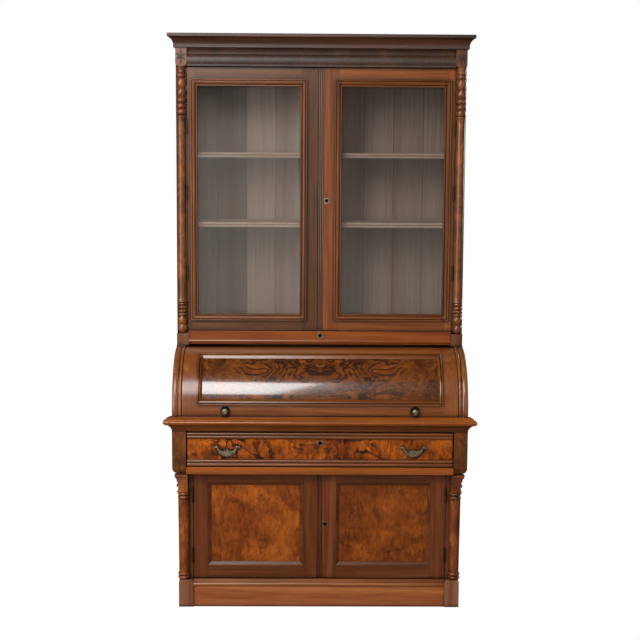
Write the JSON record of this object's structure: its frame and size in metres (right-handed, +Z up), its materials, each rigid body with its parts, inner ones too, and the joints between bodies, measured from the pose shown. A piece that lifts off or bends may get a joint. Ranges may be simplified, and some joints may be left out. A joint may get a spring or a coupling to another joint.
{
  "type": "cylinder secretary bookcase",
  "caption": "Tall wooden secretary: cupboard base, long drawer, cylinder-fall desk with pull-out writing slide, and glazed bookcase with turned half columns.",
  "frame": {"origin": "on the floor, under the middle of the bounding box", "axes": "+Z up, +Y towards the back, +X to the right seen from the front"},
  "size_m": [1.194, 0.582, 2.208],
  "materials": {
    "walnut": "polished dark red-brown",
    "burl_veneer": "polished orange-brown burl",
    "secondary_wood": "plain, unpolished",
    "antique_brass": "aged",
    "black_iron": "dull",
    "window_glass": "clear"
  },
  "bodies": {
    "case": {"base_columns": "walnut", "base_side_left": "walnut", "base_side_right": "walnut", "bookcase_back_boards": "secondary_wood", "bookcase_boards": "secondary_wood", "bookcase_columns": "walnut", "bookcase_shelves": "walnut", "bookcase_side_left": "walnut", "bookcase_side_right": "walnut", "case_back": "secondary_wood", "case_hardware": "antique_brass", "column_blocks": "walnut", "cornice": "walnut", "cupboard_boards": "secondary_wood", "desk_side_left": "walnut", "desk_side_right": "walnut", "drawer_blocks": "burl_veneer", "drawer_rail": "walnut", "drawer_runners": "secondary_wood", "frieze": "walnut", "ledge_cove": "walnut", "ledge_ends": "walnut", "lid_header": "walnut", "pigeonhole_nest": "walnut", "plinth_blocks": "walnut", "plinth_board": "walnut", "plinth_moulding": "walnut", "shelf_cleats": "secondary_wood", "side_beads": "walnut", "slide_bed": "secondary_wood"},
    "cylinder_lid": {"lid_stiles": "walnut", "lid_rails": "walnut", "lid_panel": "burl_veneer", "lid_moulding": "walnut", "lid_knobs": "antique_brass", "lid_rosettes": "black_iron", "lid_arms": "black_iron"},
    "writing_slide": {"writing_slide": "walnut"},
    "drawer": {"drawer_front": "burl_veneer", "drawer_moulding": "walnut", "drawer_box": "secondary_wood", "drawer_fittings": "antique_brass"},
    "bail_left": {"pull_bail_left": "antique_brass"},
    "bail_right": {"pull_bail_right": "antique_brass"},
    "letter_drawer_left": {"letter_drawer_left": "walnut"},
    "letter_drawer_right": {"letter_drawer_right": "walnut"},
    "glass_door_left": {"glass_door_left_frame": "walnut", "glass_door_left_hardware": "antique_brass", "glass_door_left_moulding": "walnut", "glass_door_left_pane": "window_glass"},
    "cupboard_door_left": {"cupboard_door_left_frame": "walnut", "cupboard_door_left_hardware": "antique_brass", "cupboard_door_left_panel": "burl_veneer"},
    "glass_door_right": {"glass_door_right_frame": "walnut", "glass_door_right_hardware": "antique_brass", "glass_door_right_moulding": "walnut", "glass_door_right_pane": "window_glass"},
    "cupboard_door_right": {"cupboard_door_right_frame": "walnut", "cupboard_door_right_hardware": "antique_brass", "cupboard_door_right_panel": "burl_veneer"}
  },
  "joints": [
    {"name": "lid_roll", "type": "hinge", "parent": "case", "child": "cylinder_lid", "pos_m": [0, -0.033, 0.77], "axis": [-1, 0, 0], "range_deg": [0, 84]},
    {"name": "slide_pull", "type": "slide", "parent": "case", "child": "writing_slide", "axis": [0, -1, 0], "range_m": [0, 0.155]},
    {"name": "drawer_pull", "type": "slide", "parent": "case", "child": "drawer", "axis": [0, -1, 0], "range_m": [0, 0.3]},
    {"name": "bail_left_swing", "type": "hinge", "parent": "drawer", "child": "bail_left", "pos_m": [-0.356, -0.259, 0.638], "axis": [-1, 0, 0], "range_deg": [0, 80]},
    {"name": "bail_right_swing", "type": "hinge", "parent": "drawer", "child": "bail_right", "pos_m": [0.356, -0.259, 0.638], "axis": [-1, 0, 0], "range_deg": [0, 80]},
    {"name": "letter_left_pull", "type": "slide", "parent": "case", "child": "letter_drawer_left", "axis": [0, -1, 0], "range_m": [0, 0.1]},
    {"name": "letter_right_pull", "type": "slide", "parent": "case", "child": "letter_drawer_right", "axis": [0, -1, 0], "range_m": [0, 0.1]},
    {"name": "glass_left_swing", "type": "hinge", "parent": "case", "child": "glass_door_left", "pos_m": [-0.523, 0.003, 1.567], "axis": [0, 0, -1], "range_deg": [0, 90]},
    {"name": "glass_right_swing", "type": "hinge", "parent": "case", "child": "glass_door_right", "pos_m": [0.523, 0.003, 1.567], "axis": [0, 0, 1], "range_deg": [0, 90]},
    {"name": "cupboard_left_swing", "type": "hinge", "parent": "case", "child": "cupboard_door_left", "pos_m": [-0.489, -0.217, 0.3195], "axis": [0, 0, -1], "range_deg": [0, 90]},
    {"name": "cupboard_right_swing", "type": "hinge", "parent": "case", "child": "cupboard_door_right", "pos_m": [0.489, -0.217, 0.3195], "axis": [0, 0, 1], "range_deg": [0, 90]}
  ]
}
